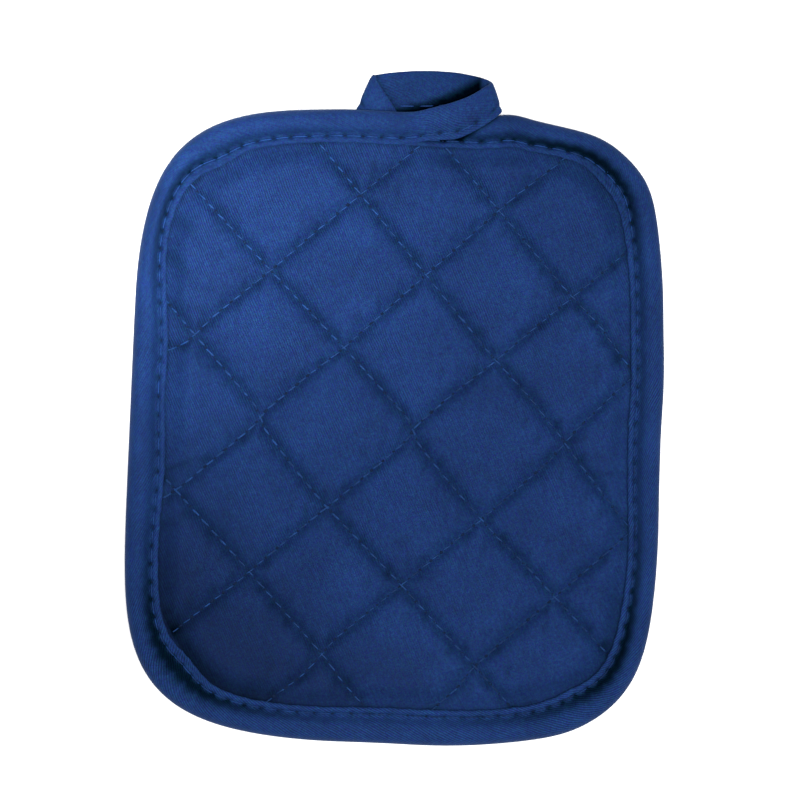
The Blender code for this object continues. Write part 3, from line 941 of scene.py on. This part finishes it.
def thread_look(name, colour):
    """Spun polyester sewing thread: two plies, a little glossier than the cloth."""
    made = Nodes(name)
    coords = made.object_place()
    fleck = made.noise(coords, 900.0, 3.0, 0.6)
    worn = made.noise(coords, 240.0)
    low, high = (tuple(share * part for part in colour) for share in (0.50, 1.50))
    mixed = made.plus(made.times(fleck, 0.4), made.times(worn, 0.6))
    mixed = made.plus(mixed, made.dot(coords, (-0.9, 0.6, 0.0)))  # painted light: palest at the top left, where the light is brightest
    dyed = made.ramp(mixed, ((0.34, low), (0.52, colour), (0.68, high)))
    made.put(dyed, made.shader.inputs["Base Color"])
    made.put(made.bump(fleck, 0.5, 0.0001), made.shader.inputs["Normal"])
    made.put(made.math("MULTIPLY_ADD", fleck, 0.2, 0.42), made.shader.inputs["Roughness"])
    made.set(Specular_IOR_Level=0.08)
    return made.material


def speckled(name, scale, low, high, rough):
    """A matt colour that varies a little: the shade in a needle hole, and the floor."""
    made = Nodes(name)
    fleck = made.noise(made.object_place(), scale)
    made.put(made.ramp(fleck, ((0.3, low), (0.7, high))), made.shader.inputs["Base Color"])
    made.set(Roughness=rough, Specular_IOR_Level=0.1)
    return made.material


# The room -------------------------------------------------------------------------------------


def make_floor():
    half = 1.6
    corners = [(-half, -half, 0), (half, -half, 0), (half, half, 0), (-half, half, 0)]
    mesh = bpy.data.meshes.new("floor")
    mesh.from_pydata(corners, [], [(0, 1, 2, 3)])
    mesh.materials.append(speckled("pale_floor", 6.0, (0.90,) * 3, (0.93,) * 3, 0.9))
    floor = bpy.data.objects.new("floor", mesh)
    bpy.context.scene.collection.objects.link(floor)


def place_light(lamp, place, aim):
    light = bpy.data.objects.new(lamp.name, lamp)
    bpy.context.scene.collection.objects.link(light)
    light.location = place
    light.rotation_euler = (Vector(aim) - Vector(place)).to_track_quat("-Z", "Y").to_euler()


def make_pool(name, place, aim, cone, power):
    """A soft-edged pool of light."""
    lamp = bpy.data.lights.new(name, "SPOT")
    lamp.energy, lamp.shadow_soft_size = power, 0.06
    lamp.spot_size, lamp.spot_blend = math.radians(cone), 1.0
    place_light(lamp, place, aim)


def make_room():
    """Plain soft light from overhead, and pools where the photograph is brighter."""
    world = bpy.data.worlds.new("room")
    bpy.context.scene.world = world
    world.use_nodes = True
    sky = world.node_tree.nodes["Background"]
    sky.inputs["Color"].default_value = (1.0, 1.0, 1.0, 1.0)
    sky.inputs["Strength"].default_value = 0.55
    overhead = bpy.data.lights.new("overhead", "AREA")
    overhead.shape, overhead.size, overhead.energy = "DISK", 0.9, 22.0
    place_light(overhead, (0.14, -0.12, 1.25), (0, 0, 0))
    make_pool("upper_left_pool", (0.0, -0.02, 0.68), (-0.078, 0.068, 0), 16.4, 52.0)
    make_pool("right_pool", (0.10, -0.02, 0.68), (0.058, 0.036, 0), 15.0, 12.0)
    make_pool("foot_pool", (0.0, -0.02, 0.68), (-0.005, -0.098, 0), 12.0, 11.0)
    bpy.context.scene.view_settings.view_transform = "Standard"


def make_camera():
    """Straight above, as the photograph, with the object turned 2.5 degrees in the picture."""
    lens, sensor = 130.0, 36.0  # mm
    across, level = 0.256, 0.005  # metres across the picture, at this height
    off_x, off_y = 0.00114, 0.00893  # metres from the middle of the edge to the picture's middle
    camera_data = bpy.data.cameras.new("camera")
    camera_data.lens, camera_data.sensor_width = lens, sensor
    camera = bpy.data.objects.new("camera", camera_data)
    bpy.context.scene.collection.objects.link(camera)
    bpy.context.scene.camera = camera
    camera.location = (MIDDLE[0] + off_x, MIDDLE[1] + off_y, level + across * lens / sensor)
    camera.rotation_euler = (0.0, 0.0, math.radians(2.5))
    camera_data.clip_start, camera_data.clip_end = 0.05, 20.0


def main():
    make_camera()
    make_room()
    make_floor()
    pad_dyes = (0.0010, 0.0066, 0.031), (0.0026, 0.0148, 0.067), (0.0062, 0.027, 0.114)
    tape_dyes = (0.0011, 0.0068, 0.031), (0.0028, 0.0160, 0.072), (0.0068, 0.030, 0.124)
    navy = twill("navy_twill", None, 115.0, pad_dyes, (-3.5, 3.5), 0.42, 0.12)
    tape_navy = twill("navy_tape_twill", "tape_mm", -28.0, tape_dyes, (2.5, -4.5), 0.60, 0.13)
    thread = thread_look("quilting_blue", (0.0054, 0.027, 0.100))
    edge_thread = thread_look("binding_blue", (0.0040, 0.022, 0.090))
    shade = speckled("needle_shade", 1500.0, (0.0015, 0.0055, 0.018), (0.003, 0.011, 0.038), 0.95)
    make_pad(navy)
    tape, along, rings, first_loose = make_tape(tape_navy)
    front, back, holes = quilt_stitches()
    lay_stitches("quilting_thread", front + back, thread)
    threads, edge_holes = edge_stitches(along, rings, first_loose)
    tape_thread = lay_stitches("binding_thread", threads, edge_thread)
    lay_holes("needle_holes", holes, shade, on_pad=True)
    tape_holes = lay_holes("binding_needle_holes", edge_holes, shade)


main()
